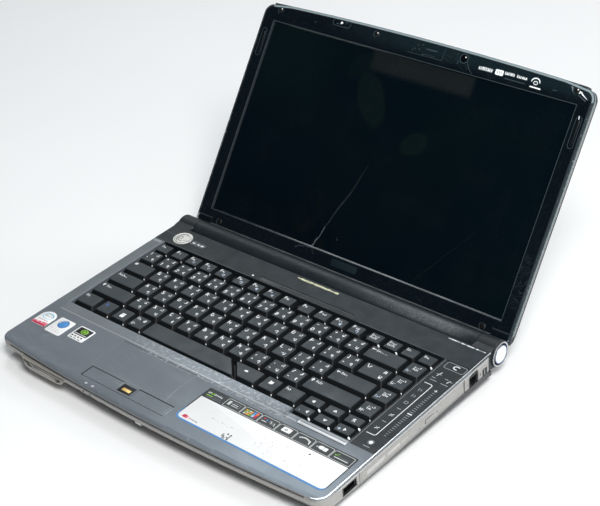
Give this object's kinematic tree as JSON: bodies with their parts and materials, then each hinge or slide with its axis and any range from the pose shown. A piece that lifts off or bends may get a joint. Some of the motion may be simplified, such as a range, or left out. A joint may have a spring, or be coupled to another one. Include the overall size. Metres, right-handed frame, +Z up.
{
  "type": "broken laptop",
  "caption": "Opened-out notebook computer with a wedge base, full keyboard, touch strip and a lid on a round hinge barrel, its dark display cracked.",
  "frame": {"origin": "middle of the bounding box of the opened machine, on the table plane under its rubber feet", "axes": "+X to the user's right, +Y away from the user towards the hinge, +Z up"},
  "size_m": [0.3432, 0.3598, 0.1979],
  "materials": {
    "case_plastic": "moulded plastic with a fine spark texture, rubbed along its edges",
    "deck_plastic": "satin painted plastic, scuffed in front of the keys",
    "dark_plastic": "fine matt dark plastic, scratched",
    "touch_strip": "half gloss touch panel film",
    "key_plastic": "matt key plastic with light legends",
    "black_plastic": "plain moulded black plastic",
    "silver_plastic": "bright plated plastic, finely brushed",
    "lit_plastic": "pearl white light guide",
    "label_film": "printed film labels, slightly worn",
    "steel": "plain pressed steel",
    "drive_metal": "cast aluminium housing",
    "copper_tone": "plain drawn heat pipe metal",
    "board": "circuit board laminate",
    "blue_plastic": "socket body plastic",
    "rubber": "soft rubber",
    "lid_paint": "painted lid shell, worn and chipped at its corners",
    "bezel_gloss": "piano black, covered in fine scratches",
    "screen_film": "dark glossy display film with cracks"
  },
  "bodies": {
    "base": {"bottom_case": "case_plastic", "palm_rest": "deck_plastic", "hinge_cover": "dark_plastic", "media_panel": "touch_strip", "keyboard_plate": "black_plastic", "touchpad": "deck_plastic", "fingerprint_reader": "black_plastic", "deck_labels": "label_film", "hinge_cap_left": "dark_plastic", "hinge_cap_right": "dark_plastic", "power_button_ring": "silver_plastic", "hinge_pins": "steel", "main_board": "board", "fan_housing": "black_plastic", "heat_sink": "copper_tone", "hard_drive": "drive_metal", "optical_drive": "steel", "battery_pack": "black_plastic", "memory_modules": "board", "memory_door": "black_plastic", "wireless_card": "board", "speakers": "black_plastic", "usb_ports": "steel", "modem_jack": "black_plastic", "video_port": "blue_plastic", "network_port": "black_plastic", "power_inlet": "black_plastic", "audio_jacks": "black_plastic", "card_reader": "black_plastic", "rubber_feet": "rubber", "case_screws": "steel"},
    "function_row_keys": {"function_row_keys": "key_plastic"},
    "number_row_keys": {"number_row_keys": "key_plastic"},
    "upper_letter_keys": {"upper_letter_keys": "key_plastic"},
    "home_letter_keys": {"home_letter_keys": "key_plastic"},
    "lower_letter_keys": {"lower_letter_keys": "key_plastic"},
    "bottom_row_keys": {"bottom_row_keys": "key_plastic"},
    "space_key": {"space_key": "key_plastic"},
    "enter_key": {"enter_key": "key_plastic"},
    "arrow_keys": {"arrow_keys": "key_plastic"},
    "left_click_button": {"left_click_button": "deck_plastic"},
    "right_click_button": {"right_click_button": "deck_plastic"},
    "launch_button": {"launch_button": "silver_plastic"},
    "power_button": {"power_button": "lit_plastic"},
    "fan_rotor": {"fan_rotor": "black_plastic"},
    "disc_tray": {"disc_tray": "case_plastic"},
    "eject_button": {"eject_button": "case_plastic"},
    "battery_lock": {"battery_lock": "black_plastic"},
    "battery_release": {"battery_release": "black_plastic"},
    "wireless_switch": {"wireless_switch": "silver_plastic"},
    "lid": {"lid_cover": "lid_paint", "screen_bezel": "bezel_gloss", "lcd_panel": "screen_film", "barrel_cover": "dark_plastic", "hinge_arms": "steel", "webcam": "black_plastic", "screw_covers": "rubber", "bumper_pads": "rubber", "inverter_board": "board", "display_cable": "black_plastic"}
  },
  "joints": [
    {"name": "function_row_keys_press", "type": "slide", "parent": "base", "child": "function_row_keys", "axis": [0, 0.0436, -0.999], "range_m": [0, 0.002], "stiffness_N_per_m": 3740, "springref_m": -0.0004},
    {"name": "number_row_keys_press", "type": "slide", "parent": "base", "child": "number_row_keys", "axis": [0, 0.0436, -0.999], "range_m": [0, 0.002], "stiffness_N_per_m": 3300, "springref_m": -0.0004},
    {"name": "upper_letter_keys_press", "type": "slide", "parent": "base", "child": "upper_letter_keys", "axis": [0, 0.0436, -0.999], "range_m": [0, 0.002], "stiffness_N_per_m": 3300, "springref_m": -0.0004},
    {"name": "home_letter_keys_press", "type": "slide", "parent": "base", "child": "home_letter_keys", "axis": [0, 0.0436, -0.999], "range_m": [0, 0.002], "stiffness_N_per_m": 2860, "springref_m": -0.0004},
    {"name": "lower_letter_keys_press", "type": "slide", "parent": "base", "child": "lower_letter_keys", "axis": [0, 0.0436, -0.999], "range_m": [0, 0.002], "stiffness_N_per_m": 2860, "springref_m": -0.0004},
    {"name": "bottom_row_keys_press", "type": "slide", "parent": "base", "child": "bottom_row_keys", "axis": [0, 0.0436, -0.999], "range_m": [0, 0.002], "stiffness_N_per_m": 1540, "springref_m": -0.0004},
    {"name": "space_key_press", "type": "slide", "parent": "base", "child": "space_key", "axis": [0, 0.0436, -0.999], "range_m": [0, 0.002], "stiffness_N_per_m": 300, "springref_m": -0.0004},
    {"name": "enter_key_press", "type": "slide", "parent": "base", "child": "enter_key", "axis": [0, 0.0436, -0.999], "range_m": [0, 0.002], "stiffness_N_per_m": 220, "springref_m": -0.0004},
    {"name": "arrow_keys_press", "type": "slide", "parent": "base", "child": "arrow_keys", "axis": [0, 0.0436, -0.999], "range_m": [0, 0.002], "stiffness_N_per_m": 1320, "springref_m": -0.0004},
    {"name": "left_click", "type": "slide", "parent": "base", "child": "left_click_button", "axis": [0, 0.0436, -0.999], "range_m": [0, 0.0006], "stiffness_N_per_m": 700, "springref_m": -0.0002},
    {"name": "right_click", "type": "slide", "parent": "base", "child": "right_click_button", "axis": [0, 0.0436, -0.999], "range_m": [0, 0.0006], "stiffness_N_per_m": 700, "springref_m": -0.0002},
    {"name": "launch_press", "type": "slide", "parent": "base", "child": "launch_button", "axis": [0, 0.0436, -0.999], "range_m": [0, 0.0008], "stiffness_N_per_m": 700, "springref_m": -0.0002},
    {"name": "power_press", "type": "slide", "parent": "base", "child": "power_button", "axis": [-1, 0, 0], "range_m": [0, 0.0008], "stiffness_N_per_m": 700, "springref_m": -0.0002},
    {"name": "tray_slide", "type": "slide", "parent": "base", "child": "disc_tray", "axis": [1, 0, 0], "range_m": [0, 0.13]},
    {"name": "eject_press", "type": "slide", "parent": "disc_tray", "child": "eject_button", "axis": [-1, 0, 0], "range_m": [0, 0.0008], "stiffness_N_per_m": 700, "springref_m": -0.0002},
    {"name": "battery_lock_slide", "type": "slide", "parent": "base", "child": "battery_lock", "axis": [0, 1, 0], "range_m": [0, 0.003]},
    {"name": "battery_release_slide", "type": "slide", "parent": "base", "child": "battery_release", "axis": [0, 1, 0], "range_m": [0, 0.003], "stiffness_N_per_m": 250, "springref_m": -0.0005},
    {"name": "wireless_slide", "type": "slide", "parent": "base", "child": "wireless_switch", "axis": [1, 0, 0], "range_m": [0, 0.004]},
    {"name": "fan_spin", "type": "hinge", "parent": "base", "child": "fan_rotor", "pos_m": [-0.136, 0.00521, 0.01526], "axis": [0, -0.0436, 0.999], "continuous": true},
    {"name": "lid_hinge", "type": "hinge", "parent": "base", "child": "lid", "pos_m": [0, 0.04452, 0.02048], "axis": [1, 0, 0], "range_deg": [-33.5, 126.5]}
  ]
}
